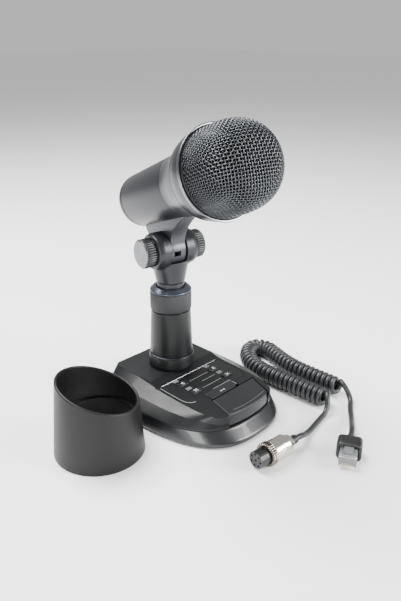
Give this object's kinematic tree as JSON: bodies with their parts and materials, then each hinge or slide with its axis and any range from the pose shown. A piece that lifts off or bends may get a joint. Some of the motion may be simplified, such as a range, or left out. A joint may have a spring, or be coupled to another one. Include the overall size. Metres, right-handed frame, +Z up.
{
  "type": "desk microphone",
  "caption": "Desk microphone with a tilting mesh-fronted head, key panel and press bar, a loose slanted hood and a coiled cord set with round and modular plugs.",
  "frame": {"origin": "on the desk, on the axis of the base's column, at the underside of the middle foot", "axes": "+Z up along the column; -Y towards the front of the base, where the press bar is; +X completes the right-handed frame, on the side where the cord set lies"},
  "size_m": [0.2227, 0.2057, 0.2191],
  "materials": {
    "housing": "satin dark grey ABS",
    "tray": "satin black ABS",
    "panel": "fine matte black label panel",
    "keys": "satin dark grey",
    "windows": "smoked clear",
    "bright": "spun and clear anodised",
    "nickel": "nickel plated",
    "barrel": "satin grey metallic paint",
    "mesh": "woven wire, semi-gloss black",
    "foam": "open-cell foam",
    "steel": "zinc plated",
    "board": "solder-masked laminate",
    "rubber": "matte",
    "knobs": "fluted, satin",
    "hood": "fine matte texture",
    "insert": "moulded black",
    "plug": "clear polycarbonate",
    "cord": "matte PVC or rubber jacket"
  },
  "bodies": {
    "base": {"base_tray": "tray", "base_housing": "housing", "foot_1": "rubber", "foot_2": "rubber", "foot_3": "rubber", "foot_4": "rubber", "foot_middle": "rubber", "weight_plate": "steel", "circuit_board": "board", "modular_jack": "tray", "press_switch": "tray", "press_pin": "steel", "key_mat": "rubber", "control_panel": "panel", "panel_strip": "bright", "window_rear_left": "windows", "window_rear_right": "windows", "window_front_left": "windows", "window_front_right": "windows", "column_flange": "tray", "column_ring": "bright", "column": "housing", "connector_shell": "nickel", "connector_insert": "insert", "connector_boot": "insert", "plug_shroud": "insert", "plug_relief": "insert", "modular_plug": "plug", "cord_coil": "cord", "lead_to_connector": "cord", "lead_to_plug": "cord"},
    "collar": {"lock_collar": "rubber", "collar_cap": "barrel"},
    "mast": {"mast": "barrel"},
    "yoke": {"yoke": "barrel", "washer_left": "steel", "washer_right": "steel", "hinge_bolt": "steel"},
    "knob_left": {"knob_left": "knobs", "knob_face_left": "bright"},
    "knob_right": {"knob_right": "knobs", "knob_face_right": "bright"},
    "head": {"head_knuckle": "barrel", "barrel": "barrel", "rear_cap": "barrel", "flare": "barrel", "head_band": "bright", "grille_rim": "bright", "grille": "mesh", "grille_foam": "foam", "capsule": "steel", "capsule_carrier": "rubber"},
    "button_rear_left": {"button_rear_left": "keys"},
    "button_rear_right": {"button_rear_right": "keys"},
    "button_front_left": {"button_front_left": "keys"},
    "button_front_right": {"button_front_right": "keys"},
    "lock_key": {"lock_key": "keys"},
    "press_bar": {"press_bar": "keys"},
    "hood": {"hood": "hood"},
    "coupling_ring": {"coupling_ring": "nickel"}
  },
  "joints": [
    {"name": "collar_turn", "type": "hinge", "parent": "base", "child": "collar", "pos_m": [0, 0, 0.08], "axis": [0, 0, 1], "range_deg": [0, 120]},
    {"name": "mast_height", "type": "slide", "parent": "base", "child": "mast", "axis": [0, 0, 1], "range_m": [-0.003, 0.015]},
    {"name": "yoke_swivel", "type": "hinge", "parent": "mast", "child": "yoke", "pos_m": [0, 0, 0.095], "axis": [0, 0, 1], "range_deg": [-170, 170]},
    {"name": "head_tilt", "type": "hinge", "parent": "yoke", "child": "head", "pos_m": [0, 0, 0.1189], "axis": [-0.981, 0.1942, 0], "range_deg": [-45, 25]},
    {"name": "knob_left_turn", "type": "hinge", "parent": "yoke", "child": "knob_left", "pos_m": [0, 0, 0.1189], "axis": [-0.981, 0.1942, 0], "range_deg": [0, 180]},
    {"name": "knob_right_turn", "type": "hinge", "parent": "yoke", "child": "knob_right", "pos_m": [0, 0, 0.1189], "axis": [0.981, -0.1942, 0], "range_deg": [0, 180]},
    {"name": "button_rear_left_press", "type": "slide", "parent": "base", "child": "button_rear_left", "axis": [0, 0, -1], "range_m": [0, 0.0008], "stiffness_N_per_m": 300, "springref_m": -0.002},
    {"name": "button_rear_right_press", "type": "slide", "parent": "base", "child": "button_rear_right", "axis": [0, 0, -1], "range_m": [0, 0.0008], "stiffness_N_per_m": 300, "springref_m": -0.002},
    {"name": "button_front_left_press", "type": "slide", "parent": "base", "child": "button_front_left", "axis": [0, 0, -1], "range_m": [0, 0.0008], "stiffness_N_per_m": 300, "springref_m": -0.002},
    {"name": "button_front_right_press", "type": "slide", "parent": "base", "child": "button_front_right", "axis": [0, 0, -1], "range_m": [0, 0.0008], "stiffness_N_per_m": 300, "springref_m": -0.002},
    {"name": "lock_press", "type": "slide", "parent": "base", "child": "lock_key", "axis": [0, 0, -1], "range_m": [0, 0.001], "stiffness_N_per_m": 300, "springref_m": -0.003},
    {"name": "press_bar_rock", "type": "hinge", "parent": "base", "child": "press_bar", "pos_m": [0.0076, -0.0624, 0.0176], "axis": [1, 0, 0], "range_deg": [0, 2], "stiffness_Nm_per_rad": 0.3, "springref_deg": -6.88},
    {"name": "hood_lift", "type": "slide", "parent": "base", "child": "hood", "axis": [0, 0, 1], "range_m": [0, 0.12]},
    {"name": "coupling_ring_turn", "type": "hinge", "parent": "base", "child": "coupling_ring", "pos_m": [-0.0009, -0.1153, 0.0083], "axis": [-0.994, 0.1097, 0], "continuous": true}
  ]
}
